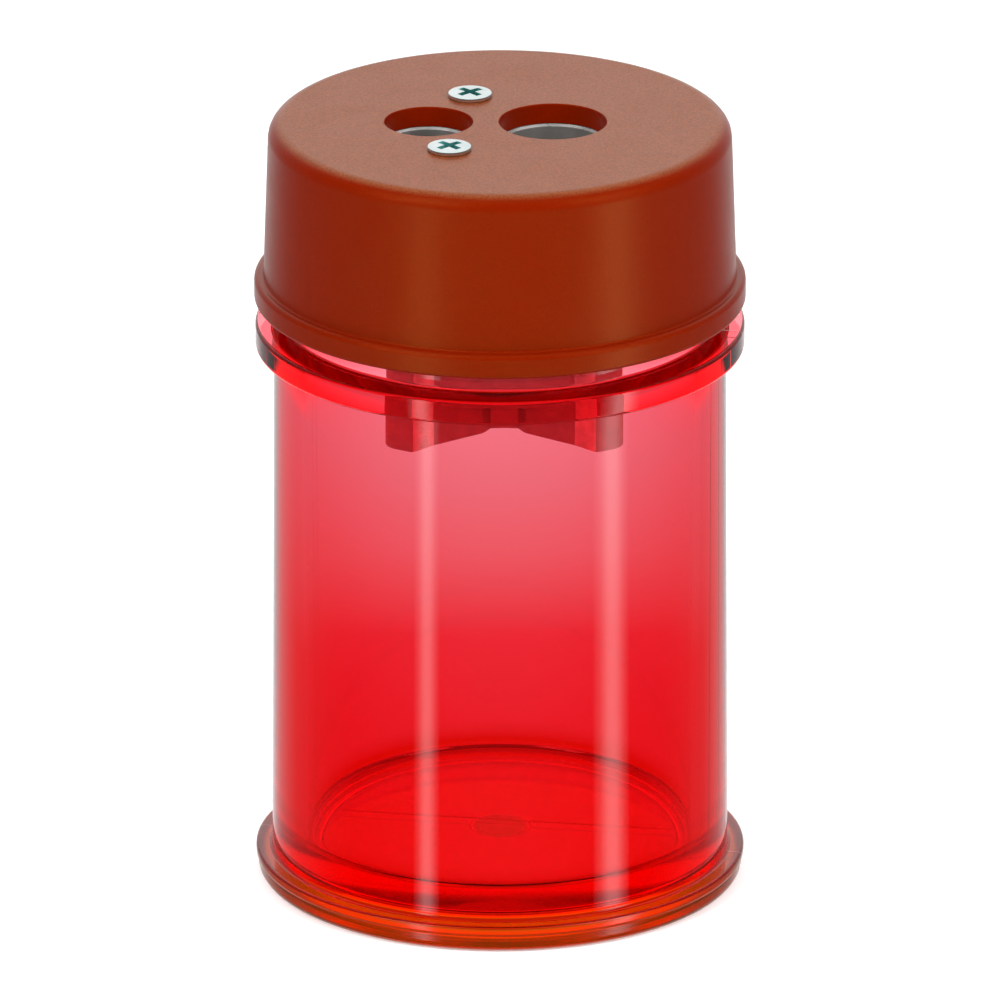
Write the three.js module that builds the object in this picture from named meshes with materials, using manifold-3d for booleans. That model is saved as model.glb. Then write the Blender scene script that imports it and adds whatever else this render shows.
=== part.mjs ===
// A twin-hole canister pencil sharpener: a clear jar that catches the shavings, a push-on lid, and
// a cast metal sharpener with two blades that hangs from the lid on two screws.
// Millimetres, +Z up. The origin is the centre of the jar's foot, on the surface it stands on.
// The two pencil holes lie along X, and the blades are on the +Y side of the sharpener.

import * as THREE from "three";
import { mergeVertices } from "three/addons/utils/BufferGeometryUtils.js";
import Module from "manifold-3d";

const wasm = await Module();
wasm.setup();

// ---------------------------------------------------------------- driving dimensions

const RIM_RADIUS = 23; // widest radius of the jar's foot flange and of the lid's bead
const TOTAL_HEIGHT = 74.3; // foot to the top of the lid, without the screw heads

// Jar
const FOOT = { radius: 22.8, height: 1.75, fillet: 0.9, ringInner: 18.2, recess: 2.6 };
const FOOT_LIP = { top: 2.65, round: 0.25 };
const FLOOR_TOP = 4.9;
const GATE = { radius: 2.8, depth: 0.7 }; // the moulding's gate mark, a dimple under the floor
const TUBE = { bottomRadius: 21.45, topRadius: 21.15, innerBottom: 18.15, innerTop: 18.5 };
const COLLAR = { radius: 22.9, bottom: 52.4, top: 54.8, round: 0.3 };
const NECK = { radius: 20.15, topRadius: 19.85, top: 72.3, bead: 0.22, beadAt: 65, round: 0.4 };

// Lid
const LID = { bottom: 57, beadTop: 59.35, skirtRadius: 22.2, topRadius: 21.7, corner: 2 };
const LID_PLATE = 1.9; // thickness of the top plate
const LID_BORE = { bottom: 20.55, top: 20.15, corner: 1 };

// Pencil holes, on the X axis
const SLIM_HOLE = { x: -6.65, lidRadius: 4.12, boreRadius: 4.05 };
const JUMBO_HOLE = { x: 4.92, lidRadius: 5.02, boreRadius: 4.92 };
const HOLE_CHAMFER = 0.3;

// Sharpener block
const GAP = 0.06; // clearance between pieces that rest on each other
const BLOCK_TOP = TOTAL_HEIGHT - LID_PLATE - GAP;
const BLOCK_BOTTOM = 44.3;
const BLOCK_CENTRE = 0.4; // X of the middle between its two lobes
const BLOCK_BACK = 7.2;
const CONE_ANGLE = THREE.MathUtils.degToRad(12); // half angle of the pencil's point
const CONE_APEX = 41.7; // height where both cones would come to a point
const TIP_HOLE = 0.7;
const BLADE_BITE = 0.35; // how far the blade seat lies inside the cones' surface
const SEAT_TOP = 68.3;
const EAR = { thickness: 3.4, radius: 2.9 }; // lugs that take the lid screws

// Blades and screws
const BLADE = { width: 6.4, length: 22, thickness: 0.55, bevel: 1.15, holeX: 4, hole: 1.2 };
const BLADE_BOTTOM = 44.7;
const BLADE_SCREW = { at: 53.2, shank: 1, length: 3.2, head: 2, headHeight: 1.15 };
const LID_SCREWS = { front: [-4.7, -7.9], back: [-2.8, 7.2] };
const LID_SCREW = { shank: 1, head: 2, rim: 0.3, proud: 0.45, length: 5.6 };
const CROSS = { arm: 0.58, radius: 1.2, depth: 1.05 }; // the screws' driver recess
const TAPPED_CLEARANCE = 0.1;

const ROUND = 48; // segments of a large turned surface
const SMALL_ROUND = 24; // segments of a screw or a small hole

// ---------------------------------------------------------------- shape helpers

/** Points of an arc, with angles in degrees, for a turned profile. */
function arc(x, y, radius, from, to, steps = 4) {
  return Array.from({ length: steps + 1 }, (_, i) => {
    const angle = THREE.MathUtils.degToRad(from + ((to - from) * i) / steps);
    return [x + radius * Math.cos(angle), y + radius * Math.sin(angle)];
  });
}

/** A solid turned round the Z axis from [radius, height] points that run anticlockwise. */
function turned(points, segments = ROUND) {
  const profile = points.map(([r, z]) => new THREE.Vector2(Math.max(r, 0), z));
  return new THREE.LatheGeometry(profile, segments).rotateX(Math.PI / 2);
}

/** A plan outline of [x, y] points, pulled up along Z. */
function prism(points, bottom, top) {
  const outline = new THREE.Shape(points.map(([x, y]) => new THREE.Vector2(x, y)));
  const geometry = new THREE.ExtrudeGeometry(outline, { depth: top - bottom, bevelEnabled: false });
  return geometry.translate(0, 0, bottom);
}

/** An end outline of [y, z] points, pulled along X from left to right. */
function endPrism(points, left, right) {
  // The outline's x becomes Y, its y becomes Z and its depth becomes X.
  const turn = new THREE.Matrix4().makeBasis(
    new THREE.Vector3(0, 1, 0), new THREE.Vector3(0, 0, 1), new THREE.Vector3(1, 0, 0));
  return prism(points, left, right).applyMatrix4(turn);
}

/** A three.js geometry as a manifold-3d solid. */
function solid(geometry) {
  const plain = geometry.index ? geometry.toNonIndexed() : geometry.clone();
  plain.deleteAttribute("normal");
  plain.deleteAttribute("uv");
  const merged = mergeVertices(plain, 1e-4);
  return new wasm.Manifold(new wasm.Mesh({
    numProp: 3,
    vertProperties: merged.attributes.position.array,
    triVerts: new Uint32Array(merged.index.array),
  }));
}

/** A manifold-3d solid as a three.js geometry. */
function surface(body) {
  const mesh = body.getMesh();
  return new THREE.BufferGeometry()
    .setAttribute("position", new THREE.BufferAttribute(new Float32Array(mesh.vertProperties), 3))
    .setIndex(new THREE.BufferAttribute(new Uint32Array(mesh.triVerts), 1));
}

/** A straight round pin or hole cutter along Z. */
function roundBar(x, y, radius, bottom, top) {
  const bar = new THREE.CylinderGeometry(radius, radius, top - bottom, SMALL_ROUND);
  return bar.rotateX(Math.PI / 2).translate(x, y, (top + bottom) / 2);
}

function plastic(colour, roughness, opacity = 1) {
  return new THREE.MeshStandardMaterial({
    color: colour, roughness, metalness: 0, opacity, transparent: opacity < 1,
  });
}

function metal(colour, roughness) {
  return new THREE.MeshStandardMaterial({ color: colour, roughness, metalness: 1 });
}

const clearRed = plastic(0xf0404c, 0.08, 0.5);
const lidRed = plastic(0xa83214, 0.38);
const castMetal = metal(0x9a9694, 0.5);
const bladeSteel = metal(0xb9bcc0, 0.22);
const zincPlate = metal(0xd5e2e2, 0.25);

const sharpener = new THREE.Group();

function place(parent, name, geometry, material) {
  const mesh = new THREE.Mesh(geometry, material);
  mesh.name = name;
  parent.add(mesh);
  return mesh;
}

// ---------------------------------------------------------------- jar

function jarGeometry() {
  const { radius, height, fillet, ringInner, recess } = FOOT;
  return turned([
    [0, recess + GATE.depth],
    [GATE.radius - 0.2, recess + GATE.depth],
    [GATE.radius, recess],
    [ringInner - 1, recess],
    [ringInner - 0.3, recess - 0.6],
    [ringInner, 0],
    ...arc(radius - fillet, fillet, fillet, -90, 0),
    [radius, height],
    [RIM_RADIUS, height + 0.15],
    ...arc(RIM_RADIUS - FOOT_LIP.round, FOOT_LIP.top - FOOT_LIP.round, FOOT_LIP.round, 0, 90, 3),
    [TUBE.bottomRadius + 0.4, FOOT_LIP.top],
    [TUBE.bottomRadius, FOOT_LIP.top + 0.4],
    [TUBE.topRadius, COLLAR.bottom - 0.25],
    [TUBE.topRadius + 0.25, COLLAR.bottom],
    ...arc(COLLAR.radius - COLLAR.round, COLLAR.bottom + COLLAR.round, COLLAR.round, -90, 0, 3),
    ...arc(COLLAR.radius - COLLAR.round, COLLAR.top - COLLAR.round, COLLAR.round, 0, 90, 3),
    [NECK.radius + 0.5, COLLAR.top],
    [NECK.radius + 0.12, COLLAR.top + 0.15],
    [NECK.radius, COLLAR.top + 0.5],
    [NECK.radius - 0.1, NECK.beadAt - 0.8],
    [NECK.radius - 0.1 + NECK.bead, NECK.beadAt],
    [NECK.topRadius + 0.05, NECK.beadAt + 0.8],
    ...arc(NECK.topRadius - NECK.round, NECK.top - NECK.round, NECK.round, 0, 90, 3),
    ...arc(TUBE.innerTop + NECK.round, NECK.top - NECK.round, NECK.round, 90, 180, 3),
    [TUBE.innerBottom, FLOOR_TOP + 1.2],
    ...arc(TUBE.innerBottom - 1.2, FLOOR_TOP + 1.2, 1.2, 0, -90, 3).slice(1),
    [0, FLOOR_TOP],
  ]);
}

place(sharpener, "jar", jarGeometry(), clearRed);

// ---------------------------------------------------------------- lid

/** The lid's shell: a top plate with a rounded corner, a skirt with a bead, and a draughted bore. */
function lidShell() {
  const underside = TOTAL_HEIGHT - LID_PLATE;
  const { bottom, top, corner } = LID_BORE;
  return solid(turned([
    [0, underside],
    ...arc(top - corner, underside - corner, corner, 90, 0, 3),
    [bottom, LID.bottom + 0.3],
    [bottom + 0.25, LID.bottom],
    ...arc(RIM_RADIUS - 0.3, LID.bottom + 0.3, 0.3, -90, 0, 3),
    ...arc(RIM_RADIUS - 0.3, LID.beadTop - 0.3, 0.3, 0, 90, 3),
    [LID.skirtRadius + 0.15, LID.beadTop],
    [LID.skirtRadius, LID.beadTop + 0.15],
    ...arc(LID.topRadius - LID.corner, TOTAL_HEIGHT - LID.corner, LID.corner, 2, 90, 6),
    [0, TOTAL_HEIGHT],
  ]));
}

/** A through hole with a chamfered upper edge, for a pencil. */
function pencilHole({ x, lidRadius }) {
  const bottom = TOTAL_HEIGHT - LID_PLATE - 1;
  const wide = lidRadius + HOLE_CHAMFER;
  return solid(turned([
    [0, bottom],
    [lidRadius, bottom],
    [lidRadius, TOTAL_HEIGHT - HOLE_CHAMFER],
    [wide, TOTAL_HEIGHT],
    [wide, TOTAL_HEIGHT + 1],
    [0, TOTAL_HEIGHT + 1],
  ], 40).translate(x, 0, 0));
}

/** A clearance hole with a countersink, for a lid screw. */
function countersunkHole([x, y]) {
  const clearance = LID_SCREW.shank + 0.2;
  const sink = LID_SCREW.head + 0.08;
  return solid(turned([
    [0, TOTAL_HEIGHT - LID_PLATE - 1],
    [clearance, TOTAL_HEIGHT - LID_PLATE - 1],
    [clearance, TOTAL_HEIGHT - (sink - clearance)],
    [sink, TOTAL_HEIGHT],
    [sink, TOTAL_HEIGHT + 1],
    [0, TOTAL_HEIGHT + 1],
  ], SMALL_ROUND).translate(x, y, 0));
}

function lidGeometry() {
  let lid = lidShell();
  for (const hole of [SLIM_HOLE, JUMBO_HOLE]) lid = lid.subtract(pencilHole(hole));
  for (const spot of Object.values(LID_SCREWS)) lid = lid.subtract(countersunkHole(spot));
  return surface(lid);
}

place(sharpener, "lid", lidGeometry(), lidRed);

// ---------------------------------------------------------------- sharpener block

const slope = Math.tan(CONE_ANGLE);

/** Y of the blade seat at a height. */
function seatY(z) {
  return (z - CONE_APEX) * slope - BLADE_BITE;
}

/** The plan of the two lobes: a peak in front of each cone, with a valley between them. */
function lobePlan() {
  const half = [[0, -0.5], [1.3, -0.6], [1.9, -1.8], [6.5, -5.1], [8.4, -7], [10.6, -5.7],
    [10.95, -5.3], [10.95, 20]];
  const mirrored = half.slice(1).reverse().map(([x, y]) => [-x, y]);
  return [...half, ...mirrored].map(([x, y]) => [x + BLOCK_CENTRE, y]);
}

/** The cast body before it is drilled: lobes, flared shoulders, filled valley and blade seat. */
function castBody() {
  const above = BLOCK_TOP + 1;
  const lobes = solid(prism(lobePlan(), BLOCK_BOTTOM, above));
  const shoulders = solid(endPrism([[-4.7, 46], [20, 46], [20, above], [-4.7, above]], -13, 13));
  const valleyFill = solid(endPrism([
    [-0.3, 51], [1.2, 51], [3, above], [-6.6, above], [-6.6, 59.5],
  ], BLOCK_CENTRE - 8, BLOCK_CENTRE + 8));
  const behindSeat = solid(endPrism([
    [seatY(BLOCK_BOTTOM - 1), BLOCK_BOTTOM - 1], [30, BLOCK_BOTTOM - 1], [30, SEAT_TOP],
    [seatY(SEAT_TOP), SEAT_TOP],
  ], -20, 20));
  return lobes.add(shoulders.intersect(flare())).add(valleyFill).subtract(behindSeat)
    .trimByPlane([0, -1, 0], -BLOCK_BACK);
}

/** Front outline of the shoulders: they widen upwards to hold the full bores. */
function flare() {
  const outline = [[-9, 48], [9.8, 48], [12.2, 57], [12.2, BLOCK_TOP + 2],
    [-12.6, BLOCK_TOP + 2], [-12.6, 57]];
  // The outline's x stays X, its y becomes Z and its depth becomes -Y.
  const turn = new THREE.Matrix4().makeBasis(
    new THREE.Vector3(1, 0, 0), new THREE.Vector3(0, 0, 1), new THREE.Vector3(0, -1, 0));
  return solid(prism(outline, -20, 20).applyMatrix4(turn));
}

/** The capsule-shaped flange that carries both lid screws. */
function earPlate() {
  const [frontX, frontY] = LID_SCREWS.front;
  const [backX, backY] = LID_SCREWS.back;
  const outline = [
    ...arc(backX, backY, EAR.radius, 0, 180, 10),
    ...arc(frontX, frontY, EAR.radius, 180, 360, 10),
  ];
  return solid(prism(outline, BLOCK_TOP - EAR.thickness, BLOCK_TOP + 1));
}

/** Cutter for one pencil bore: tip hole, cone, and a straight lead-in with a chamfered mouth. */
function pencilBore({ x, boreRadius }) {
  return solid(turned([
    [0, BLOCK_BOTTOM - 1],
    [TIP_HOLE, BLOCK_BOTTOM - 1],
    [TIP_HOLE, CONE_APEX + TIP_HOLE / slope],
    [boreRadius, CONE_APEX + boreRadius / slope],
    [boreRadius, BLOCK_TOP - HOLE_CHAMFER],
    [boreRadius + HOLE_CHAMFER, BLOCK_TOP],
    [boreRadius + HOLE_CHAMFER, BLOCK_TOP + 1],
    [0, BLOCK_TOP + 1],
  ], 40).translate(x, 0, 0));
}

/** Matrix from a blade's frame (x across, y out of the seat, z up the seat) to the part's. */
function seatFrame(x, height) {
  const matrix = new THREE.Matrix4().makeRotationX(-CONE_ANGLE);
  return matrix.setPosition(x, seatY(height), height);
}

/** Cutter for the tapped hole under one blade. */
function bladeScrewHole({ x }) {
  const radius = BLADE_SCREW.shank + TAPPED_CLEARANCE;
  const bar = roundBar(0, 0, radius, -BLADE_SCREW.length, 2).rotateX(-Math.PI / 2);
  return solid(bar.applyMatrix4(seatFrame(x + BLADE.holeX, BLADE_SCREW.at)));
}

function blockGeometry() {
  let block = castBody().add(earPlate()).trimByPlane([0, 0, -1], -BLOCK_TOP);
  for (const hole of [SLIM_HOLE, JUMBO_HOLE]) {
    block = block.subtract(pencilBore(hole)).subtract(bladeScrewHole(hole));
  }
  const tapped = LID_SCREW.shank + TAPPED_CLEARANCE;
  for (const [x, y] of Object.values(LID_SCREWS)) {
    block = block.subtract(solid(roundBar(x, y, tapped, BLOCK_TOP - EAR.thickness - 1,
      BLOCK_TOP + 1)));
  }
  return surface(block);
}

place(sharpener, "sharpener_block", blockGeometry(), castMetal);

// ---------------------------------------------------------------- blades

/** A blade on its seat: the cutting edge is along x = 0, and the bevel is on its outer face. */
function bladeGeometry() {
  const { width, length, thickness, bevel, holeX, hole } = BLADE;
  const section = [[0, 0.03], [0.05, 0], [width, 0], [width, thickness], [bevel, thickness]];
  const plate = solid(prism(section, 0, length));
  const alongSeat = (BLADE_SCREW.at - BLADE_BOTTOM) / Math.cos(CONE_ANGLE);
  const hollow = roundBar(0, 0, hole, -1, 2).rotateX(-Math.PI / 2).translate(holeX, 0, alongSeat);
  return surface(plate.subtract(solid(hollow)));
}

function addBlade(name, { x }) {
  const blade = place(sharpener, name, bladeGeometry(), bladeSteel);
  blade.position.set(x, seatY(BLADE_BOTTOM) + GAP, BLADE_BOTTOM);
  blade.rotation.x = -CONE_ANGLE;
}

addBlade("slim_blade", SLIM_HOLE);
addBlade("jumbo_blade", JUMBO_HOLE);

// ---------------------------------------------------------------- screws

/** Cutter for a cross recess whose mouth is at height 0: two arms that narrow as they go down. */
function crossRecess() {
  const { arm, radius, depth } = CROSS;
  const cone = solid(turned([[0, -depth], [radius * 0.3, -depth], [radius, 0], [radius, 1],
    [0, 1]], SMALL_ROUND));
  const along = solid(new THREE.BoxGeometry(radius * 3, arm, depth * 4));
  const across = solid(new THREE.BoxGeometry(arm, radius * 3, depth * 4));
  return cone.intersect(along.add(across));
}

/** A countersunk screw with its head's face at height 0. */
function lidScrewGeometry() {
  const { shank, head, rim, length } = LID_SCREW;
  const body = solid(turned([
    [0, -length],
    [shank * 0.6, -length],
    [shank, -length + 0.5],
    [shank, -rim - (head - shank)],
    [head, -rim],
    [head, -0.08],
    [head - 0.1, 0],
    [0, 0],
  ], SMALL_ROUND));
  return surface(body.subtract(crossRecess()));
}

/** A pan-head screw with the underside of its head at height 0. */
function bladeScrewGeometry() {
  const { shank, head, headHeight, length } = BLADE_SCREW;
  const grip = length - 0.3 + BLADE.thickness;
  const body = solid(turned([
    [0, -grip],
    [shank * 0.6, -grip],
    [shank, -grip + 0.4],
    [shank, 0],
    [head, 0],
    [head, headHeight * 0.45],
    [head * 0.9, headHeight * 0.75],
    [head * 0.6, headHeight],
    [0, headHeight],
  ], SMALL_ROUND));
  const recess = crossRecess().scale([0.8, 0.8, 0.8]).translate([0, 0, headHeight]);
  return surface(body.subtract(recess));
}

for (const [side, [x, y]] of Object.entries(LID_SCREWS)) {
  const screw = place(sharpener, `lid_screw_${side}`, lidScrewGeometry(), zincPlate);
  screw.position.set(x, y, TOTAL_HEIGHT + LID_SCREW.proud);
  screw.rotation.z = THREE.MathUtils.degToRad(42);
}

function addBladeScrew(name, { x }) {
  const lift = BLADE.thickness + 2 * GAP;
  const place3 = new THREE.Vector3(0, lift, 0).applyMatrix4(
    seatFrame(x + BLADE.holeX, BLADE_SCREW.at));
  const screw = place(sharpener, name, bladeScrewGeometry(), zincPlate);
  screw.position.copy(place3);
  screw.rotation.x = -CONE_ANGLE - Math.PI / 2;
}

addBladeScrew("slim_blade_screw", SLIM_HOLE);
addBladeScrew("jumbo_blade_screw", JUMBO_HOLE);

export default sharpener;
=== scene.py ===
import math

import bmesh
import bpy
from mathutils import Matrix, Vector


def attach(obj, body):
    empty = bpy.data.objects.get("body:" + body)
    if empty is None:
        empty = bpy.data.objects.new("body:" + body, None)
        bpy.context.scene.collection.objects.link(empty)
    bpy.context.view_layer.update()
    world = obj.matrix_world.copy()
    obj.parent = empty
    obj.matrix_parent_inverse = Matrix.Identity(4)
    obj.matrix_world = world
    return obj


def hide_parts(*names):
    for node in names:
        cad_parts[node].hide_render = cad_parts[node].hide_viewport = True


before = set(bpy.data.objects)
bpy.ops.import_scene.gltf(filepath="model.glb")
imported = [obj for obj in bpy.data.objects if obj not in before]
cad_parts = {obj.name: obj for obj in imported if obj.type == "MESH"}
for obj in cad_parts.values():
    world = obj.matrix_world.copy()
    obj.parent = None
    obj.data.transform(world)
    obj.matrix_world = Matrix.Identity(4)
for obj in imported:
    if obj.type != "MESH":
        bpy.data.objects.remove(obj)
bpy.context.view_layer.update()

MM = 0.001
SHARP = math.radians(35)  # an edge that bends by more than this stays crisp
CLOSE = 1e-7  # points nearer than this are one point

# ------------------------------------------------------------------ the jar
# One moulding in clear red polystyrene: a thick tube with a foot ring, a collar, and a neck that
# the lid pushes onto. Its floor has the round scar of the moulding gate underneath, and a faint
# parting line runs up both sides where the two halves of the mould met.
JAR_OUTLINE = [  # radius, height and rounding, in mm, from the floor's underside outwards
    (0, 3.3, 0), (2.55, 3.3, 0.2), (2.8, 2.6, 0.2), (17.1, 2.6, 0.5), (18.0, 0.3, 0.25),
    (18.4, 0, 0.25), (22.75, 0, 0.9), (22.78, 1.72, 0.12), (22.97, 1.86, 0.12),
    (22.97, 2.65, 0.28), (21.45, 2.65, 0.4), (21.15, 52.4, 0.3), (22.88, 52.4, 0.35),
    (22.88, 54.8, 0.35), (20.15, 54.8, 0.35), (20.05, 64.3, 0.3), (20.25, 65, 0.3),
    (19.9, 65.9, 0.3), (19.85, 72.3, 0.4), (18.5, 72.3, 0.4), (18.15, 4.9, 1.1), (0, 4.9, 0)]


def turned(outline, steps, centre=(0, 0), soft=4):
    """A bmesh turned round a vertical axis from an outline of (radius, height, rounding)."""
    bm = bmesh.new()
    corners = [bm.verts.new((r * MM, 0, z * MM)) for r, z, _ in outline]
    bm.faces.new(corners)
    for corner, (_, _, rounding) in zip(corners, outline):
        if rounding:
            bmesh.ops.bevel(bm, geom=[corner], offset=rounding * MM, offset_type="OFFSET",
                            affect="VERTICES", segments=soft, profile=0.5, material=-1)
    bmesh.ops.delete(bm, geom=bm.faces[:], context="FACES_ONLY")
    on_axis = [e for e in bm.edges if all(v.co.x < CLOSE for v in e.verts)]
    bmesh.ops.delete(bm, geom=on_axis, context="EDGES")
    bmesh.ops.spin(bm, geom=bm.verts[:] + bm.edges[:], cent=(0, 0, 0), axis=(0, 0, 1),
                   angle=math.tau, steps=steps, use_merge=True)
    bmesh.ops.remove_doubles(bm, verts=bm.verts[:], dist=CLOSE)
    bmesh.ops.recalc_face_normals(bm, faces=bm.faces[:])
    bmesh.ops.translate(bm, verts=bm.verts[:], vec=(centre[0] * MM, centre[1] * MM, 0))
    return bm


def finished(bm, name):
    """Turns a bmesh into a piece with smooth faces and crisp sharp edges."""
    for face in bm.faces:
        face.smooth = True
    mesh = bpy.data.meshes.new(name)
    bm.to_mesh(mesh)
    bm.free()
    mesh.set_sharp_from_angle(angle=SHARP)
    piece = bpy.data.objects.new(name, mesh)
    bpy.context.scene.collection.objects.link(piece)
    return piece


def dressed(piece, body, node, slot, *finishes):
    """Gives a piece its materials and even normals, ties it to its body and hides the CAD part
    named node, which it stands in for. The slot is not used.
    """
    held = piece.data.materials
    for index, finish in enumerate(finishes):
        if index < len(held):
            held[index] = finish
        else:
            held.append(finish)
    even = piece.modifiers.new("even_normals", "WEIGHTED_NORMAL")
    even.weight, even.keep_sharp = 100, True
    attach(piece, body)
    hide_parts(node)


def node_group(name, inputs, outputs):
    """An empty shader node group with named inputs and outputs."""
    group = bpy.data.node_groups.new(name, "ShaderNodeTree")
    for label, kind, value in inputs:
        socket = group.interface.new_socket(label, in_out="INPUT", socket_type=kind)
        socket.default_value = value
    for label, kind in outputs:
        group.interface.new_socket(label, in_out="OUTPUT", socket_type=kind)
    return group, group.nodes.new("NodeGroupInput"), group.nodes.new("NodeGroupOutput")


def wire(tree, pairs):
    for out, into in pairs:
        tree.links.new(out, into)


def math_node(tree, operation, a=0.0, b=0.0):
    node = tree.nodes.new("ShaderNodeMath")
    node.operation = operation
    node.inputs[0].default_value, node.inputs[1].default_value = a, b
    return node


def map_range(tree, from_min=0.0, from_max=1.0, to_min=0.0, to_max=1.0):
    node = tree.nodes.new("ShaderNodeMapRange")
    for label, value in (("From Min", from_min), ("From Max", from_max),
                         ("To Min", to_min), ("To Max", to_max)):
        node.inputs[label].default_value = value
    return node


def noise(tree, detail, scale=5.0, roughness=0.5):
    node = tree.nodes.new("ShaderNodeTexNoise")
    for label, value in (("Detail", detail), ("Scale", scale), ("Roughness", roughness)):
        node.inputs[label].default_value = value
    return node


def colour_ramp(tree, stops):
    """A colour ramp through stops of (position, colour), given in order."""
    node = tree.nodes.new("ShaderNodeValToRGB")
    elements = node.color_ramp.elements
    elements[0].position, elements[-1].position = stops[0][0], stops[-1][0]
    for position, _ in stops[1:-1]:
        elements.new(position)
    for element, (_, colour) in zip(elements, stops):
        element.color = (*colour, 1)
    return node


MIX_A, MIX_B, MIXED = 6, 7, 2  # a Mix node's colour sockets, whose names it uses more than once


def colour_mix(tree, blend="MIX"):
    node = tree.nodes.new("ShaderNodeMix")
    node.data_type, node.blend_type = "RGBA", blend
    return node


# Moulded skin: the slow ripple and the fine grain that a steel mould leaves on plastic, and the
# rubbed spots that handling leaves. Heights feed a Bump, and the rub mask feeds Roughness.
skin, skin_in, skin_out = node_group(
    "moulded_skin",
    [("Grain size", "NodeSocketFloat", 2500.0), ("Grain", "NodeSocketFloat", 0.5),
     ("Ripple size", "NodeSocketFloat", 120.0), ("Ripple", "NodeSocketFloat", 0.5)],
    [("Height", "NodeSocketFloat"), ("Rub", "NodeSocketFloat")])
place = skin.nodes.new("ShaderNodeTexCoord")
grain = noise(skin, detail=3)
ripple = noise(skin, detail=2)
rub = noise(skin, detail=6, scale=260)
rub_ramp = map_range(skin, 0.42, 0.7)
grain_height = math_node(skin, "MULTIPLY")
ripple_height = math_node(skin, "MULTIPLY")
total = math_node(skin, "ADD")
wire(skin, [
    (place.outputs["Object"], grain.inputs["Vector"]),
    (place.outputs["Object"], ripple.inputs["Vector"]),
    (place.outputs["Object"], rub.inputs["Vector"]),
    (skin_in.outputs["Grain size"], grain.inputs["Scale"]),
    (skin_in.outputs["Ripple size"], ripple.inputs["Scale"]),
    (grain.outputs["Fac"], grain_height.inputs[0]),
    (skin_in.outputs["Grain"], grain_height.inputs[1]),
    (ripple.outputs["Fac"], ripple_height.inputs[0]),
    (skin_in.outputs["Ripple"], ripple_height.inputs[1]),
    (grain_height.outputs[0], total.inputs[0]),
    (ripple_height.outputs[0], total.inputs[1]),
    (total.outputs[0], skin_out.inputs["Height"]),
    (rub.outputs["Fac"], rub_ramp.inputs["Value"]),
    (rub_ramp.outputs["Result"], skin_out.inputs["Rub"])])


def new_material(name, **plain):
    """A Principled material; keywords set plain values, with _ for the spaces in their names."""
    material = bpy.data.materials.new(name)
    material.use_nodes = True
    shader = material.node_tree.nodes["Principled BSDF"]
    for label, value in plain.items():
        shader.inputs[label.replace("_", " ")].default_value = value
    return material, material.node_tree, shader


def add_skin(tree, shader, grain_size, grain, ripple_size, ripple, depth, rough, rubbed):
    """Feeds a material's Normal and Roughness from the moulded skin; depth is in mm."""
    group = tree.nodes.new("ShaderNodeGroup")
    group.node_tree = skin
    for label, value in (("Grain size", grain_size), ("Grain", grain),
                         ("Ripple size", ripple_size), ("Ripple", ripple)):
        group.inputs[label].default_value = value
    bump = tree.nodes.new("ShaderNodeBump")
    bump.inputs["Strength"].default_value = 1
    bump.inputs["Distance"].default_value = depth * MM
    spread = map_range(tree, to_min=rough, to_max=rubbed)
    wire(tree, [(group.outputs["Height"], bump.inputs["Height"]),
                (bump.outputs["Normal"], shader.inputs["Normal"]),
                (group.outputs["Rub"], spread.inputs["Value"]),
                (spread.outputs["Result"], shader.inputs["Roughness"])])
    return group, bump, spread


clear_red, tree, shader = new_material("clear_red_polystyrene", IOR=1.55, Transmission_Weight=1.0,
                                       Emission_Strength=1.0)
skin_group, skin_bump, skin_rough = add_skin(
    tree, shader, grain_size=1500, grain=0.02, ripple_size=45, ripple=1.0, depth=0.006,
    rough=0.0, rubbed=0.05)
# The foot and floor are tinted more orange than the tube, and the foot is a little rougher. A
# faint orange emission in the foot stands in for light that has run down inside the wall.
FOOT_SPAN = 8.0 * MM  # the height that the three ramps below are spread over
foot_place = tree.nodes.new("ShaderNodeTexCoord")
foot_axes = tree.nodes.new("ShaderNodeSeparateXYZ")
foot_height = map_range(tree, from_max=FOOT_SPAN)
foot_tint = colour_ramp(tree, ((0.0, (0.48, 0.3, 0.0)), (0.3, (0.52, 0.3, 0.0)),
                               (0.4, (0.82, 0.1, 0.0)), (0.66, (0.84, 0.1, 0.0)),
                               (0.9, (1.0, 1.0, 1.0))))
foot_glow = colour_ramp(tree, ((0.0, (0.02, 0.022, 0.0)), (0.3, (0.02, 0.022, 0.0)),
                               (0.315, (0.0, 0.0, 0.0))))
foot_rough = map_range(tree, 0.3, 0.34, 0.14, 0.0)
foot_and_skin = math_node(tree, "ADD")
# The gate's round scar under the floor is rough, because it is where the moulding was snapped
# off. Its amber emission stands in for the light that such a rough face catches.
SCAR_RADIUS, SCAR_BELOW, SCAR_ROUGH = 2.75 * MM, 4.0 * MM, 0.5
SCAR_COLOUR, SCAR_GLOW = (0.15, 0.1, 0.0, 1), (0.26, 0.24, 0.0, 1)
flat_place = tree.nodes.new("ShaderNodeVectorMath")
flat_place.operation = "MULTIPLY"
flat_place.inputs[1].default_value = (1, 1, 0)
from_axis = tree.nodes.new("ShaderNodeVectorMath")
from_axis.operation = "LENGTH"
in_scar = math_node(tree, "LESS_THAN", 0, SCAR_RADIUS)
below_floor = math_node(tree, "LESS_THAN", 0, SCAR_BELOW)
scar = math_node(tree, "MULTIPLY")
scar_rough = math_node(tree, "MULTIPLY", 0, SCAR_ROUGH)
rough_total = math_node(tree, "ADD")
scar_colour = colour_mix(tree)
scar_colour.inputs[MIX_B].default_value = SCAR_COLOUR
scar_glow = colour_mix(tree)
scar_glow.inputs[MIX_B].default_value = SCAR_GLOW
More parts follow.
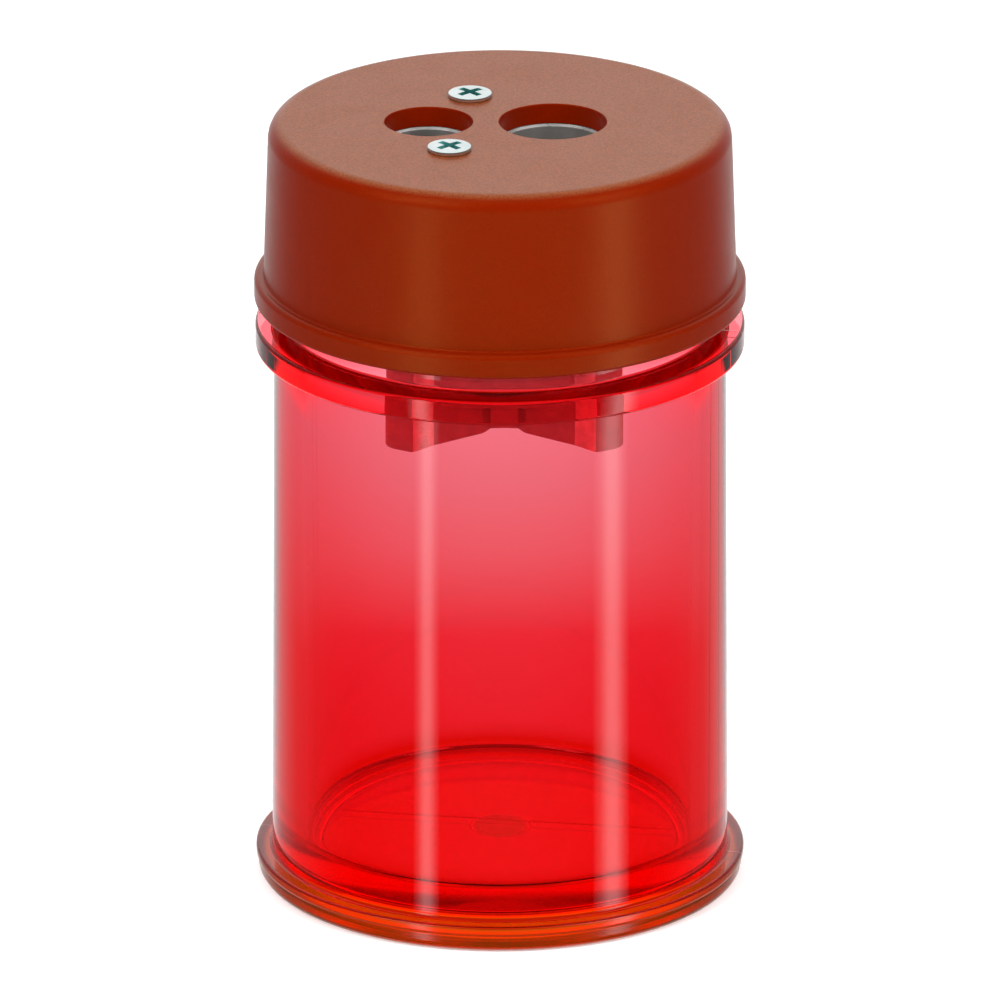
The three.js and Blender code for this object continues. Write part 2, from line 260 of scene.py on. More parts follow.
# The parting line: a fine ridge in the plane where the mould halves met.
SEAM_TURN, SEAM_HALF_WIDTH, SEAM_HEIGHT = math.radians(9), 0.12 * MM, 4.0
seam_turn = tree.nodes.new("ShaderNodeMapping")
seam_turn.inputs["Rotation"].default_value = (0, 0, SEAM_TURN)
seam_axes = tree.nodes.new("ShaderNodeSeparateXYZ")
seam_side = math_node(tree, "ABSOLUTE")
seam_ridge = map_range(tree, from_max=SEAM_HALF_WIDTH, to_min=SEAM_HEIGHT, to_max=0.0)
seam_ridge.interpolation_type = "SMOOTHSTEP"
seam_total = math_node(tree, "ADD")
# The red comes from inside the plastic: it lets red through and takes up green and most blue.
absorb = tree.nodes.new("ShaderNodeVolumeAbsorption")
absorb.inputs["Color"].default_value = (0.976, 0.0, 0.086, 1)
absorb.inputs["Density"].default_value = 590
wire(tree, [
    (foot_place.outputs["Object"], foot_axes.inputs[0]),
    (foot_axes.outputs["Z"], foot_height.inputs["Value"]),
    (foot_height.outputs["Result"], foot_tint.inputs["Fac"]),
    (foot_height.outputs["Result"], foot_glow.inputs["Fac"]),
    (foot_place.outputs["Object"], flat_place.inputs[0]),
    (flat_place.outputs[0], from_axis.inputs[0]),
    (from_axis.outputs["Value"], in_scar.inputs[0]),
    (foot_axes.outputs["Z"], below_floor.inputs[0]),
    (in_scar.outputs[0], scar.inputs[0]),
    (below_floor.outputs[0], scar.inputs[1]),
    (scar.outputs[0], scar_rough.inputs[0]),
    (foot_height.outputs["Result"], foot_rough.inputs["Value"]),
    (skin_rough.outputs["Result"], foot_and_skin.inputs[0]),
    (foot_rough.outputs["Result"], foot_and_skin.inputs[1]),
    (foot_and_skin.outputs[0], rough_total.inputs[0]),
    (scar_rough.outputs[0], rough_total.inputs[1]),
    (rough_total.outputs[0], shader.inputs["Roughness"]),
    (scar.outputs[0], scar_colour.inputs["Factor"]),
    (foot_tint.outputs["Color"], scar_colour.inputs[MIX_A]),
    (scar_colour.outputs[MIXED], shader.inputs["Base Color"]),
    (scar.outputs[0], scar_glow.inputs["Factor"]),
    (foot_glow.outputs["Color"], scar_glow.inputs[MIX_A]),
    (scar_glow.outputs[MIXED], shader.inputs["Emission Color"]),
    (foot_place.outputs["Object"], seam_turn.inputs["Vector"]),
    (seam_turn.outputs["Vector"], seam_axes.inputs[0]),
    (seam_axes.outputs["Y"], seam_side.inputs[0]),
    (seam_side.outputs[0], seam_ridge.inputs["Value"]),
    (seam_ridge.outputs["Result"], seam_total.inputs[0]),
    (skin_group.outputs["Height"], seam_total.inputs[1]),
    (seam_total.outputs[0], skin_bump.inputs["Height"]),
    (absorb.outputs["Volume"], tree.nodes["Material Output"].inputs["Volume"])])

clear_jar = finished(turned(JAR_OUTLINE, steps=160), "clear_jar")
dressed(clear_jar, "jar", "jar", "jar_plastic", clear_red)

# ------------------------------------------------------------------ the lid
# An opaque brick-red cap in a tougher plastic, with a speckled top painted paler as a sheen, a
# rounded corner, a slightly tapered skirt and a gripping bead round its mouth. It has a hole for
# slim pencils, one for thick pencils, and two countersunk holes for the screws that hold the
# sharpener.
LID_TOP, PLATE_UNDER = 74.3, 72.4
SLIM, JUMBO = (-6.65, 0.0), (4.92, 0.0)
SLIM_HOLE, JUMBO_HOLE, HOLE_LIP = 4.1, 5.0, 0.08
SCREW_SPOTS = {"front": (-4.7, -7.9), "back": (-2.8, 7.2)}
LID_OUTLINE = [
    (0, PLATE_UNDER, 0), (20.15, PLATE_UNDER, 1.0), (20.55, 57.35, 0.1), (20.8, 57, 0.1),
    (22.97, 57, 0.4), (22.97, 59.35, 0.55), (22.1, 59.35, 0.25), (21.58, LID_TOP, 1.5),
    (0, LID_TOP, 0)]


def carve(piece, tools, operation="DIFFERENCE"):
    """Cuts the tools out of a piece, or joins them to it, and removes the tools. A cut face keeps
    the material index of the tool that made it."""
    for tool in tools:
        step = piece.modifiers.new("carve", "BOOLEAN")
        step.operation, step.solver, step.object = operation, "EXACT", tool
        step.material_mode = "INDEX"
    view = bpy.context.evaluated_depsgraph_get()
    mesh = bpy.data.meshes.new_from_object(piece.evaluated_get(view))
    piece.modifiers.clear()
    piece.data = mesh
    mesh.set_sharp_from_angle(angle=SHARP)
    for tool in tools:
        bpy.data.objects.remove(tool)


def hole_tool(x, y, radius):
    """A cutter for a round hole through the lid's plate, with its upper edge eased."""
    wide, below, above = radius + HOLE_LIP, PLATE_UNDER - 1, LID_TOP + 2
    return finished(turned([(0, below, 0), (radius, below, 0),
                            (radius, LID_TOP - HOLE_LIP, HOLE_LIP * 0.7), (wide, LID_TOP, 0),
                            (wide, above, 0), (0, above, 0)], steps=96, centre=(x, y)), "tool")


def countersink_tool(x, y):
    """A cutter for a screw's hole through the lid's plate, with a cone for the screw's head."""
    shank, head, below, above = 1.2, 2.08, PLATE_UNDER - 1, LID_TOP + 2
    return finished(turned([(0, below, 0), (shank, below, 0), (shank, LID_TOP - 0.85, 0),
                            (head, LID_TOP + 0.03, 0), (head, above, 0), (0, above, 0)],
                           steps=48, centre=(x, y)), "tool")


brick_lid = finished(turned(LID_OUTLINE, steps=160, soft=6), "brick_lid")
carve(brick_lid, [hole_tool(*SLIM, SLIM_HOLE), hole_tool(*JUMBO, JUMBO_HOLE),
                  *(countersink_tool(*spot) for spot in SCREW_SPOTS.values())])

brick_red, tree, shader = new_material("brick_red_plastic", IOR=1.5,
                                       Specular_Tint=(1, 0.55, 0.12, 1))
add_skin(tree, shader, grain_size=6500, grain=0.7, ripple_size=90, ripple=0.5, depth=0.02,
         rough=0.29, rubbed=0.33)
# The top is the part that looks up and is within 2 mm of the lid's full height. Its colour is
# painted paler than the skirt's, as the sheen that its grainy face catches from the bright back.
TOP_DEPTH = 2
lid_place = tree.nodes.new("ShaderNodeTexCoord")
lid_axes = tree.nodes.new("ShaderNodeSeparateXYZ")
lid_speckle = noise(tree, detail=4, scale=5200)
skirt_shade = colour_ramp(tree, ((0.32, (0.158, 0.006, 0.0)), (0.68, (0.182, 0.0078, 0.0))))
# the top's speckled ramp is paler than the skirt's: a painted sheen
top_painted_sheen = colour_ramp(tree, ((0.32, (0.115, 0.023, 0.006)), (0.68, (0.265, 0.06, 0.018))))
lid_facing = tree.nodes.new("ShaderNodeSeparateXYZ")
faces_up = map_range(tree, 0.75, 0.97)
near_top = math_node(tree, "GREATER_THAN", 0, (LID_TOP - TOP_DEPTH) * MM)
top_sheen_mask = math_node(tree, "MULTIPLY")
# mixes the skirt's own colour with the top's painted sheen
lid_colour_and_top_sheen = colour_mix(tree)
wire(tree, [(lid_place.outputs["Object"], lid_axes.inputs[0]),
            (lid_place.outputs["Object"], lid_speckle.inputs["Vector"]),
            (lid_speckle.outputs["Fac"], skirt_shade.inputs["Fac"]),
            (lid_speckle.outputs["Fac"], top_painted_sheen.inputs["Fac"]),
            (lid_place.outputs["Normal"], lid_facing.inputs[0]),
            (lid_facing.outputs["Z"], faces_up.inputs["Value"]),
            (lid_axes.outputs["Z"], near_top.inputs[0]),
            (faces_up.outputs["Result"], top_sheen_mask.inputs[0]),
            (near_top.outputs[0], top_sheen_mask.inputs[1]),
            (top_sheen_mask.outputs[0], lid_colour_and_top_sheen.inputs["Factor"]),
            (skirt_shade.outputs["Color"], lid_colour_and_top_sheen.inputs[MIX_A]),
            (top_painted_sheen.outputs["Color"], lid_colour_and_top_sheen.inputs[MIX_B]),
            (lid_colour_and_top_sheen.outputs[MIXED], shader.inputs["Base Color"])])
dressed(brick_lid, "head", "lid", "lid_plastic", brick_red)

# ------------------------------------------------------------------ the sharpener block
# A light-alloy casting with two lobes and a valley between them, flared at the top to hold the
# pencil bores, with a flange for the lid screws. The bores' eased mouths, the screw holes and the
# sloping blade seat are machined bright after casting. The lobes' small front flats take the same
# lighter colour as a painted highlight.
# the second slot is the machined finish, and on the lobes' front flats a painted highlight
CAST, MACHINED_AND_HIGHLIT = 0, 1  # the block's material slots
BLOCK_TOP, BLOCK_BOTTOM, BLOCK_BACK = 72.34, 44.3, 7.2
SLIM_BORE, JUMBO_BORE, BORE_LIP, TIP_HOLE = 3.88, 4.77, 0.2, 0.7
CONE_APEX, SEAT_TILT, BITE = 41.7, math.radians(12), 0.35
SLOPE = math.tan(SEAT_TILT)
SEAT_BELOW, SEAT_TOP = 43, 68.3


def seat_y(z):
    """Where the sloping blade seat is at a height: each blade bites a little into its cone."""
    return (z - CONE_APEX) * SLOPE - BITE


def drawn(points, along, low, high, rounding=(), finish=CAST):
    """A prism: a flat outline pulled along X, Y or Z, with some of its long edges rounded."""
    bm = bmesh.new()
    lift = {"X": lambda a, b: (low, a, b), "Y": lambda a, b: (a, low, b),
            "Z": lambda a, b: (a, b, low)}[along]
    pull = {"X": (1, 0, 0), "Y": (0, 1, 0), "Z": (0, 0, 1)}[along]
    base = bm.faces.new([bm.verts.new(Vector(lift(a, b)) * MM) for a, b in points])
    corners = list(base.verts)
    for index, radius in rounding:
        bmesh.ops.bevel(bm, geom=[corners[index]], offset=radius * MM, offset_type="OFFSET",
                        affect="VERTICES", segments=5, profile=0.5, material=-1)
    made = bmesh.ops.extrude_face_region(bm, geom=bm.faces[:])
    grown = [v for v in made["geom"] if isinstance(v, bmesh.types.BMVert)]
    bmesh.ops.translate(bm, verts=grown, vec=Vector(pull) * (high - low) * MM)
    bmesh.ops.recalc_face_normals(bm, faces=bm.faces[:])
    for face in bm.faces:
        face.material_index = finish
    return bm


LOBES_X = 0.4  # the middle of the two lobes
LOBE_HALF = [(1.3, -0.6), (1.9, -1.8), (6.5, -5.1), (8.4, -7.0), (10.95, -5.5), (10.95, 20)]
lobe_plan = ([(LOBES_X, -0.5)] + [(LOBES_X + x, y) for x, y in LOBE_HALF]
             + [(LOBES_X - x, y) for x, y in reversed(LOBE_HALF)])
lobe_rounding = [(2, 0.3), (4, 0.35), (5, 1.1), (8, 1.1), (9, 0.35), (11, 0.3)]
lobes = drawn(lobe_plan, "Z", BLOCK_BOTTOM, BLOCK_TOP + 1, lobe_rounding)
# each lobe's small front flat gets the lighter machined colour as a painted highlight
for face in lobes.faces:  # the small flat on the inner side of each lobe's peak
    spot, facing = face.calc_center_median() / MM, face.normal
    if abs(facing.z) < 0.1 and facing.y < -0.5 and 6.4 < abs(spot.x - LOBES_X) < 8.3:
        face.material_index = MACHINED_AND_HIGHLIT
cast_block = finished(lobes, "cast_block")

flare = finished(drawn([(-9, 48), (9.8, 48), (12.2, 57), (12.2, 74), (-12.6, 74), (-12.6, 57)],
                       "Y", -4.7, 20, [(2, 2.5), (5, 2.5)]), "tool")
valley = finished(drawn([(-0.3, 51), (1.2, 51), (3, 73.3), (-6.6, 73.3), (-6.6, 59.5)],
                        "X", -7.6, 8.4, [(4, 1.5)]), "tool")
carve(cast_block, [flare, valley], "UNION")
carve(cast_block, [
    finished(drawn([(seat_y(SEAT_BELOW), SEAT_BELOW), (40, SEAT_BELOW), (40, SEAT_TOP),
                    (seat_y(SEAT_TOP), SEAT_TOP)], "X", -20, 20, finish=MACHINED_AND_HIGHLIT), "tool"),
    finished(drawn([(-20, BLOCK_BACK), (20, BLOCK_BACK), (20, 40), (-20, 40)],
                   "Z", 40, 80), "tool")])

# The flange: one slab that runs round both lid screws. It is made a little too tall, and a later
# cut trims it to the block's top.
EAR_RADIUS, EAR_THICK, OVER_TOP = 2.9, 3.4, 1.0
ears = bmesh.new()
for x, y in SCREW_SPOTS.values():
    rim = bmesh.ops.create_circle(ears, segments=48, radius=EAR_RADIUS * MM)["verts"]
    bmesh.ops.translate(ears, verts=rim, vec=(x * MM, y * MM, (BLOCK_TOP - EAR_THICK) * MM))
bmesh.ops.convex_hull(ears, input=ears.verts[:])
bmesh.ops.dissolve_limit(ears, angle_limit=0.01, verts=ears.verts[:], edges=ears.edges[:])
ear_faces = sorted(ears.faces, key=lambda f: -f.calc_area())
bmesh.ops.delete(ears, geom=ear_faces[1:], context="FACES")
made = bmesh.ops.extrude_face_region(ears, geom=ears.faces[:])
bmesh.ops.translate(ears, verts=[v for v in made["geom"] if isinstance(v, bmesh.types.BMVert)],
                    vec=(0, 0, (EAR_THICK + OVER_TOP) * MM))
bmesh.ops.recalc_face_normals(ears, faces=ears.faces[:])
carve(cast_block, [finished(ears, "tool")], "UNION")


def bore_tool(x, y, radius):
    """A cutter for a pencil bore: tip hole, cone, straight lead-in and an eased mouth."""
    tip_end, cone_end = CONE_APEX + TIP_HOLE / SLOPE, CONE_APEX + radius / SLOPE
    wide, below, above = radius + BORE_LIP, SEAT_BELOW, BLOCK_TOP + 2
    bm = turned([(0, below, 0), (TIP_HOLE, below, 0), (TIP_HOLE, tip_end, 0),
                 (radius, cone_end, 0), (radius, BLOCK_TOP - BORE_LIP, 0), (wide, BLOCK_TOP, 0),
                 (wide, above, 0), (0, above, 0)], steps=96, centre=(x, y))
    for face in bm.faces:
        at_mouth = face.calc_center_median().z > (BLOCK_TOP - 0.15) * MM
        face.material_index = MACHINED_AND_HIGHLIT if at_mouth else CAST
    return finished(bm, "tool")


def on_seat(x, z):
    """The frame of a blade seat: X across, Y out of the seat and Z up along it."""
    return (Matrix.Translation(Vector((x, seat_y(z), z)) * MM)
            @ Matrix.Rotation(-SEAT_TILT, 4, "X"))


def pin_tool(radius, low, high, place, finish=CAST):
    """A plain round cutter, put where its hole is."""
    bm = turned([(0, low, 0), (radius, low, 0), (radius, high, 0), (0, high, 0)], steps=32)
    bmesh.ops.transform(bm, matrix=place, verts=bm.verts[:])
    for face in bm.faces:
        face.material_index = finish
    return finished(bm, "tool")


BLADE_HOLE_X, BLADE_HOLE_Z, THREAD_HOLE = 4.0, 53.2, 1.1
OUT_OF_SEAT = Matrix.Rotation(math.radians(-90), 4, "X")
carve(cast_block, [finished(drawn([(-20, -20), (20, -20), (20, 20), (-20, 20)],
                                  "Z", BLOCK_TOP, 80), "tool")])
carve(cast_block, [bore_tool(*SLIM, SLIM_BORE), bore_tool(*JUMBO, JUMBO_BORE)])
carve(cast_block, [
    *(pin_tool(THREAD_HOLE, 68, 73, Matrix.Translation((x * MM, y * MM, 0)), MACHINED_AND_HIGHLIT)
      for x, y in SCREW_SPOTS.values()),
    *(pin_tool(THREAD_HOLE, -3.2, 2, on_seat(x + BLADE_HOLE_X, BLADE_HOLE_Z) @ OUT_OF_SEAT,
               MACHINED_AND_HIGHLIT)
      for x, _ in (SLIM, JUMBO))])
soften = cast_block.modifiers.new("cast_edges", "BEVEL")
soften.width, soften.segments, soften.limit_method = 0.14 * MM, 2, "ANGLE"
soften.angle_limit = math.radians(38)

# Metal surface: casting or rolling leaves a grain, machining leaves fine parallel lines, and
# handling dulls it in patches. The lines run along the piece's own X.
worked, worked_in, worked_out = node_group(
    "worked_metal",
    [("Pit size", "NodeSocketFloat", 1500.0), ("Pits", "NodeSocketFloat", 1.0),
     ("Line size", "NodeSocketFloat", 3000.0), ("Lines", "NodeSocketFloat", 0.0)],
    [("Height", "NodeSocketFloat"), ("Dull", "NodeSocketFloat")])
metal_place = worked.nodes.new("ShaderNodeTexCoord")
pits = noise(worked, detail=6, roughness=0.65)
stretch = worked.nodes.new("ShaderNodeMapping")
stretch.inputs["Scale"].default_value = (0.03, 1, 1)
lines = noise(worked, detail=2)
patches = noise(worked, detail=5, scale=420)
pit_height = math_node(worked, "MULTIPLY")
line_height = math_node(worked, "MULTIPLY")
metal_total = math_node(worked, "ADD")
wire(worked, [
    (metal_place.outputs["Object"], pits.inputs["Vector"]),
    (metal_place.outputs["Object"], stretch.inputs["Vector"]),
    (metal_place.outputs["Object"], patches.inputs["Vector"]),
    (stretch.outputs["Vector"], lines.inputs["Vector"]),
    (worked_in.outputs["Pit size"], pits.inputs["Scale"]),
    (worked_in.outputs["Line size"], lines.inputs["Scale"]),
    (pits.outputs["Fac"], pit_height.inputs[0]),
    (worked_in.outputs["Pits"], pit_height.inputs[1]),
    (lines.outputs["Fac"], line_height.inputs[0]),
    (worked_in.outputs["Lines"], line_height.inputs[1]),
    (pit_height.outputs[0], metal_total.inputs[0]),
    (line_height.outputs[0], metal_total.inputs[1]),
    (metal_total.outputs[0], worked_out.inputs["Height"]),
    (patches.outputs["Fac"], worked_out.inputs["Dull"])])


def metal_finish(name, dark, light, rough, dull, metallic, pit_size, pit_share, line_size,
                 line_share, depth):
    """A dull-skinned metal with its own colours, roughness range and working marks; depth is in
    mm, and the shares say how much of it the pits and the lines take."""
    material, tree, shader = new_material(name, Metallic=metallic)
    group = tree.nodes.new("ShaderNodeGroup")
    group.node_tree = worked
    for label, value in (("Pit size", pit_size), ("Pits", pit_share),
                         ("Line size", line_size), ("Lines", line_share)):
        group.inputs[label].default_value = value
    shade = colour_ramp(tree, ((0.35, dark), (0.65, light)))
    spread = map_range(tree, 0.3, 0.7, rough, dull)
    bump = tree.nodes.new("ShaderNodeBump")
    bump.inputs["Strength"].default_value = 1
    bump.inputs["Distance"].default_value = depth * MM
    wire(tree, [(group.outputs["Dull"], shade.inputs["Fac"]),
                (shade.outputs["Color"], shader.inputs["Base Color"]),
                (group.outputs["Dull"], spread.inputs["Value"]),
                (spread.outputs["Result"], shader.inputs["Roughness"]),
                (group.outputs["Height"], bump.inputs["Height"]),
                (bump.outputs["Normal"], shader.inputs["Normal"])])
    return material


cast_alloy = metal_finish(
    "cast_light_alloy", dark=(0.32, 0.31, 0.29), light=(0.46, 0.45, 0.43), rough=0.42, dull=0.6,
    metallic=0.7, pit_size=1800, pit_share=1.0, line_size=3000, line_share=0.0, depth=0.05)
# the lighter finish: machined metal, and on the lobes' front flats a painted highlight
machined_and_highlit_alloy = metal_finish(
    "machined_and_highlit_light_alloy", dark=(0.5, 0.49, 0.47), light=(0.86, 0.85, 0.83), rough=0.26, dull=0.42,
    metallic=0.6, pit_size=2500, pit_share=1.0, line_size=4200, line_share=1.0, depth=0.04)
dressed(cast_block, "head", "sharpener_block", "block_metal", cast_alloy, machined_and_highlit_alloy)

# ------------------------------------------------------------------ the blades
# Two flat blades of ground tool steel. Each lies on its sloping seat with its long cutting edge
# over the middle of a cone, is ground to a bevel on its outer face, and has one screw hole.
BLADE_LOW, BLADE_LONG, BLADE_WIDE, BLADE_THICK = 44.7, 22.0, 6.4, 0.55
BLADE_GAP, BLADE_HOLE = 0.06, 1.2
blade_steel = metal_finish(
    "ground_blade_steel", dark=(0.5, 0.51, 0.52), light=(0.66, 0.67, 0.68), rough=0.16, dull=0.32,
    metallic=0.7, pit_size=3000, pit_share=0.15, line_size=5200, line_share=1.0, depth=0.012)
for label, (x, _), node in (("slim", SLIM, "slim_blade"), ("jumbo", JUMBO, "jumbo_blade")):
    bm = drawn([(0.02, 0.03), (0.08, 0), (BLADE_WIDE, 0), (BLADE_WIDE, BLADE_THICK),
                (1.15, BLADE_THICK)], "Z", 0, BLADE_LONG)
    long_edges = [e for e in bm.edges if all(v.co.x > (BLADE_WIDE - 0.1) * MM for v in e.verts)]
    bmesh.ops.bevel(bm, geom=long_edges, offset=0.08 * MM, offset_type="OFFSET",
                    affect="EDGES", segments=2, profile=0.5, material=-1)
    seat = on_seat(x, BLADE_LOW) @ Matrix.Translation((0, BLADE_GAP * MM, 0))
    bmesh.ops.transform(bm, matrix=seat, verts=bm.verts[:])
    blade = finished(bm, label + "_ground_blade")
    hole = on_seat(x + BLADE_HOLE_X, BLADE_HOLE_Z) @ OUT_OF_SEAT
    carve(blade, [pin_tool(BLADE_HOLE, -1, 2, hole)])
    dressed(blade, "head", node, "blade_steel", blade_steel)

# ------------------------------------------------------------------ the screws
# Small zinc-plated steel screws with a cross recess: two raised countersunk ones hold the block
# under the lid, and two pan heads hold the blades. The recess is stamped with slightly open arms,
# and its plating is painted much darker than the head's, as shade.
# the recess's slot holds the painted shade
RECESS = 1  # the material slot of a screw's recess; the rest of it is in slot 0
zinc_plate = metal_finish(
    "bright_zinc_plate", dark=(0.66, 0.76, 0.76), light=(0.82, 0.9, 0.89), rough=0.14, dull=0.28,
    metallic=0.95, pit_size=1600, pit_share=0.9, line_size=3000, line_share=0.1, depth=0.02)
# The recess: the head's plating painted dark, as shade in the hollow.
recess_painted_shade = metal_finish(
    "recess_zinc_painted_shade", dark=(0.02, 0.14, 0.13), light=(0.08, 0.3, 0.28), rough=0.3, dull=0.45,
    metallic=0.4, pit_size=2600, pit_share=1.0, line_size=3000, line_share=0.1, depth=0.03)


def cross_tool(radius, arm, depth, place, turn):
    """A cutter for one bar of a cross recess, which narrows towards its bottom."""
    bm = bmesh.new()
    bmesh.ops.create_cube(bm, size=1)
    bmesh.ops.scale(bm, vec=(2 * radius * MM, arm * MM, 1.25 * depth * MM), verts=bm.verts[:])
    bmesh.ops.translate(bm, vec=(0, 0, -0.375 * depth * MM), verts=bm.verts[:])
    low = [v for v in bm.verts if v.co.z < -0.5 * depth * MM]
    bmesh.ops.scale(bm, vec=(0.3, 0.55, 1), verts=low)
    bmesh.ops.transform(bm, matrix=place @ Matrix.Rotation(math.radians(turn), 4, "Z"),
                        verts=bm.verts[:])
    bmesh.ops.recalc_face_normals(bm, faces=bm.faces[:])
    for face in bm.faces:
        face.material_index = RECESS
    return finished(bm, "tool")


def plated_screw(name, node, outline, recess, place, turn):
    """A turned screw, put where its hole is. Its recess is the half length, width and depth of
    its bars and the height of its mouth, in mm, and turn is in degrees."""
    bm = turned(outline, steps=64)
    bmesh.ops.transform(bm, matrix=place, verts=bm.verts[:])
    screw = finished(bm, name)
    radius, arm, depth, face = recess
    mouth = place @ Matrix.Translation((0, 0, face * MM))
    carve(screw, [cross_tool(radius, arm, depth, mouth, turn)])
    carve(screw, [cross_tool(radius, arm, depth, mouth, turn + 90)])
    dressed(screw, "head", node, "screw_plating", zinc_plate, recess_painted_shade)


LID_SCREW = [(0, -5.6, 0), (0.6, -5.6, 0.1), (1, -5.1, 0.1), (1, -1.42, 0.1), (1.95, -0.47, 0.05),
             (2.05, -0.42, 0.04), (2.05, -0.1, 0.08), (1.35, -0.02, 0.5), (0, 0, 0)]
LID_RECESS, HEAD_ABOVE_LID = (1.55, 0.74, 0.9, 0.0), 0.45
for side, (x, y) in SCREW_SPOTS.items():
    plated_screw(side + "_lid_screw", "lid_screw_" + side, LID_SCREW, LID_RECESS,
                 Matrix.Translation((x * MM, y * MM, (LID_TOP + HEAD_ABOVE_LID) * MM)),
                 turn=42)

BLADE_SCREW = [(0, -3.4, 0), (0.6, -3.4, 0.1), (1, -3.0, 0.1), (1, 0, 0.05), (1.98, 0, 0.08),
               (1.98, 0.55, 0.3), (1.3, 1.13, 0.4), (0, 1.15, 0)]
BLADE_RECESS = (1.2, 0.5, 0.7, 1.15)
lifted = Matrix.Translation((0, 0.67 * MM, 0))
for label, (x, _), turn in (("slim", SLIM, 20), ("jumbo", JUMBO, 65)):
    plated_screw(label + "_seat_screw", label + "_blade_screw", BLADE_SCREW, BLADE_RECESS,
                 on_seat(x + BLADE_HOLE_X, BLADE_HOLE_Z) @ lifted @ OUT_OF_SEAT, turn)

# ------------------------------------------------------------------ the studio
# A white table so wide that it is the background too, in a surround that is bright behind, dim
# above and at the sides, and dark towards the viewer. Three lamps light it, two cards show only
# as reflections, and a ring of light shows only through the clear plastic.
table = bmesh.new()
bmesh.ops.create_grid(table, x_segments=1, y_segments=1, size=3)
table_top = finished(table, "table_top")
white_table, *_ = new_material("white_table", Roughness=0.9, Base_Color=(0.85, 0.85, 0.85, 1),
                               Emission_Color=(1, 1, 1, 1), Emission_Strength=0.28,
                               Specular_IOR_Level=0.0)
table_top.data.materials.append(white_table)
table_top.visible_glossy = False
table_top.visible_transmission = False
table_top.visible_shadow = False

scene = bpy.context.scene
surround = bpy.data.worlds.new("surround")
scene.world = surround
surround.use_nodes = True
tree = surround.node_tree
# Greys from the front to the back, and then their share from the left to the right.
SKY = ((0.0, 0.02), (0.4, 0.04), (0.5, 0.22), (0.58, 0.45), (0.7, 0.85), (0.85, 0.97))
SIDES = ((0.0, 0.1), (0.12, 0.18), (0.25, 0.5), (0.4, 1.0), (0.6, 1.0), (0.75, 0.5), (0.88, 0.18),
         (1.0, 0.1))
sky_place = tree.nodes.new("ShaderNodeTexCoord")
sky_axes = tree.nodes.new("ShaderNodeSeparateXYZ")
sky_span = map_range(tree, from_min=-1.0)
sky_ramp = colour_ramp(tree, [(position, (grey,) * 3) for position, grey in SKY])
side_span = map_range(tree, from_min=-1.0)
side_ramp = colour_ramp(tree, [(position, (grey,) * 3) for position, grey in SIDES])
sky_sides = colour_mix(tree, "MULTIPLY")
sky_sides.inputs["Factor"].default_value = 1.0
wire(tree, [(sky_place.outputs["Generated"], sky_axes.inputs[0]),
            (sky_axes.outputs["Y"], sky_span.inputs["Value"]),
            (sky_span.outputs["Result"], sky_ramp.inputs["Fac"]),
            (sky_axes.outputs["X"], side_span.inputs["Value"]),
            (side_span.outputs["Result"], side_ramp.inputs["Fac"]),
            (sky_ramp.outputs["Color"], sky_sides.inputs[MIX_A]),
            (side_ramp.outputs["Color"], sky_sides.inputs[MIX_B]),
            (sky_sides.outputs[MIXED], tree.nodes["Background"].inputs["Color"])])

middle = Vector((0, 0, 0.0367))  # where the camera and the lamps are aimed


def seen_only_by(obj, *rays):
    """Lets only the named kinds of ray see a screen."""
    for sight in ("camera", "diffuse", "glossy", "transmission", "volume_scatter", "shadow"):
        setattr(obj, "visible_" + sight, sight in rays)


def glow_material(name, axis, low, high, strength, stops):
    """A light whose colour runs through the stops along one of its object's own axes."""
    material = bpy.data.materials.new(name)
    material.use_nodes = True
    tree = material.node_tree
    tree.nodes.remove(tree.nodes["Principled BSDF"])
    glow = tree.nodes.new("ShaderNodeEmission")
    glow.inputs["Strength"].default_value = strength
    place = tree.nodes.new("ShaderNodeTexCoord")
    axes = tree.nodes.new("ShaderNodeSeparateXYZ")
    along = map_range(tree, low, high)
    ramp = colour_ramp(tree, stops)
    wire(tree, [(place.outputs["Object"], axes.inputs[0]),
                (axes.outputs[axis], along.inputs["Value"]),
                (along.outputs["Result"], ramp.inputs["Fac"]),
                (ramp.outputs["Color"], glow.inputs["Color"]),
                (glow.outputs[0], tree.nodes["Material Output"].inputs["Surface"])])
    return material


# The ring of light stands all round. In the default view its strong green-blue part shines
# through the upper half of the jar, and its dim pinkish part through the lowest.
RING_AWAY, RING_TALL = 0.3, 0.5
RING_LOW, RING_HIGH = -0.112, -0.060
RING_STOPS = ((0.0, (0.92, 0.45, 0.55)), (0.34, (0.97, 0.8, 1.0)), (0.53, (0.98, 4.0, 3.7)),
              (0.68, (0.98, 5.3, 5.0)), (0.78, (0.98, 6.0, 5.7)), (0.87, (0.98, 6.2, 6.1)),
              (0.97, (2.1, 1.6, 1.7)))
ring = bmesh.new()
bmesh.ops.create_cone(ring, cap_ends=False, segments=96, radius1=RING_AWAY, radius2=RING_AWAY,
                      depth=RING_TALL)
light_ring = finished(ring, "light_ring")
light_ring.data.materials.append(
    glow_material("ring_glow", "Z", RING_LOW, RING_HIGH, 1.0, RING_STOPS))
seen_only_by(light_ring, "transmission")

CARD_AWAY, CARD_TALL = 0.13, 0.14
CARD_STOPS = tuple((position, (grey,) * 3) for position, grey in (
    (0.0, 0.0), (0.2, 0.3), (0.42, 1.0), (0.6, 1.0), (0.82, 0.3), (0.99, 0.0)))


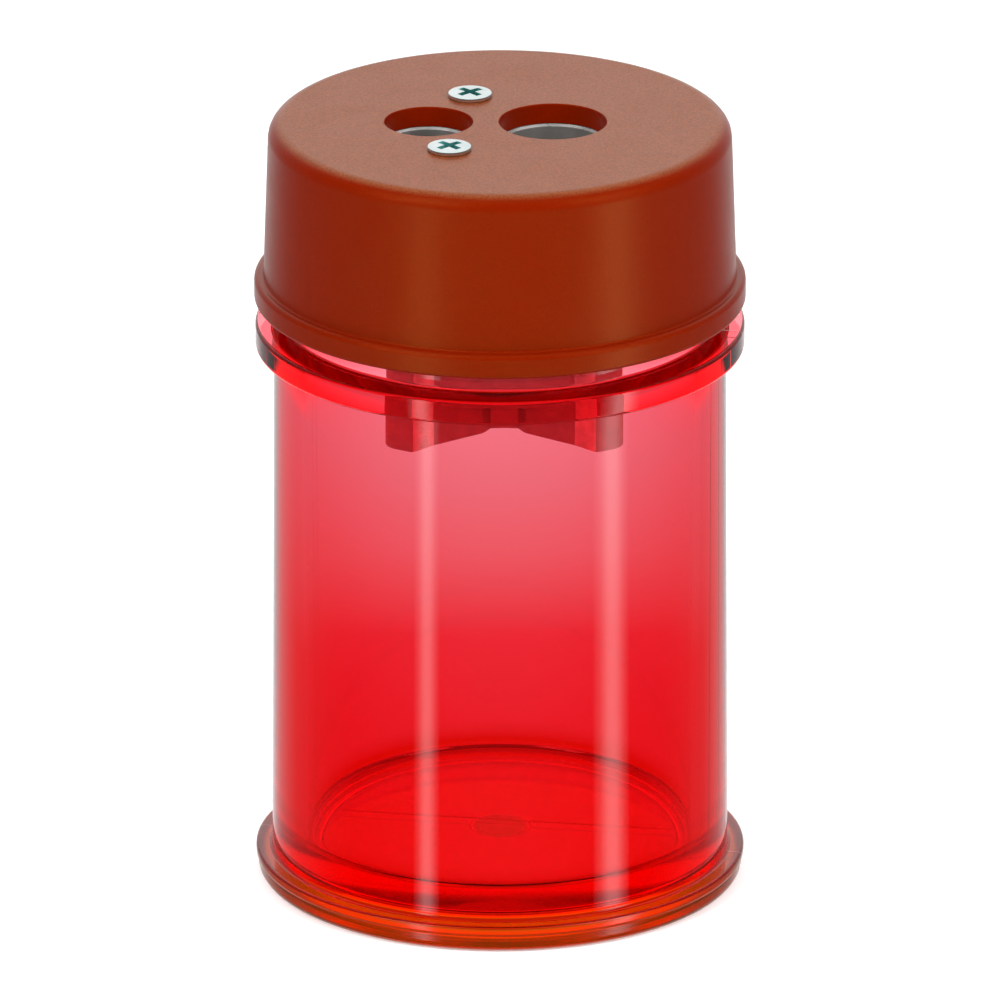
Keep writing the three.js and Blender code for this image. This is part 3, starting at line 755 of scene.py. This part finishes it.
def card(name, side, width, strength):
    """A tall soft-edged strip of light, side degrees to the right of the viewer."""
    bm = bmesh.new()
    bmesh.ops.create_grid(bm, x_segments=1, y_segments=1, size=0.5)
    bmesh.ops.scale(bm, vec=(width, CARD_TALL, 1), verts=bm.verts[:])
    strip = finished(bm, name)
    side = math.radians(side)
    away = Vector((math.sin(side), -math.cos(side), 0)) * CARD_AWAY
    strip.location = away
    strip.rotation_euler = away.to_track_quat("Z", "Y").to_euler()
    strip.data.materials.append(
        glow_material(name + "_glow", "X", -width / 2, width / 2, strength, CARD_STOPS))
    seen_only_by(strip, "glossy")


card("left_card", side=-34.5, width=0.03, strength=2.4)
card("right_card", side=54, width=0.046, strength=2.6)


def lamp(name, side, up, away, width, tall, power):
    """A rectangular lamp, side degrees to the right of the viewer and up degrees high."""
    light = bpy.data.lights.new(name, "AREA")
    light.shape, light.size, light.size_y, light.energy = "RECTANGLE", width, tall, power
    holder = bpy.data.objects.new(name, light)
    side, up = math.radians(side), math.radians(up)
    holder.location = middle + away * Vector((
        math.sin(side) * math.cos(up), -math.cos(side) * math.cos(up), math.sin(up)))
    holder.rotation_euler = (middle - holder.location).to_track_quat("-Z", "Y").to_euler()
    holder.visible_camera = holder.visible_glossy = False
    scene.collection.objects.link(holder)


lamp("left_lamp", side=-48, up=38, away=0.7, width=0.35, tall=0.5, power=4.8)
lamp("right_lamp", side=58, up=34, away=0.7, width=0.35, tall=0.5, power=4.8)
lamp("top_lamp", side=0, up=86, away=0.8, width=0.6, tall=0.6, power=2.0)

CAMERA_UP, CAMERA_AWAY, LENS = math.radians(20.3), 2.0, 768
camera = bpy.data.objects.new("camera", bpy.data.cameras.new("camera"))
camera.location = middle + CAMERA_AWAY * Vector((0, -math.cos(CAMERA_UP), math.sin(CAMERA_UP)))
camera.rotation_euler = (middle - camera.location).to_track_quat("-Z", "Y").to_euler()
camera.data.lens = LENS
camera.data.clip_end = 20
scene.collection.objects.link(camera)
scene.camera = camera
scene.view_settings.view_transform = "Standard"
BOUNCES = 32  # light runs round inside the thick clear wall
for kind in ("max_bounces", "glossy_bounces", "transmission_bounces"):
    setattr(scene.cycles, kind, BOUNCES)
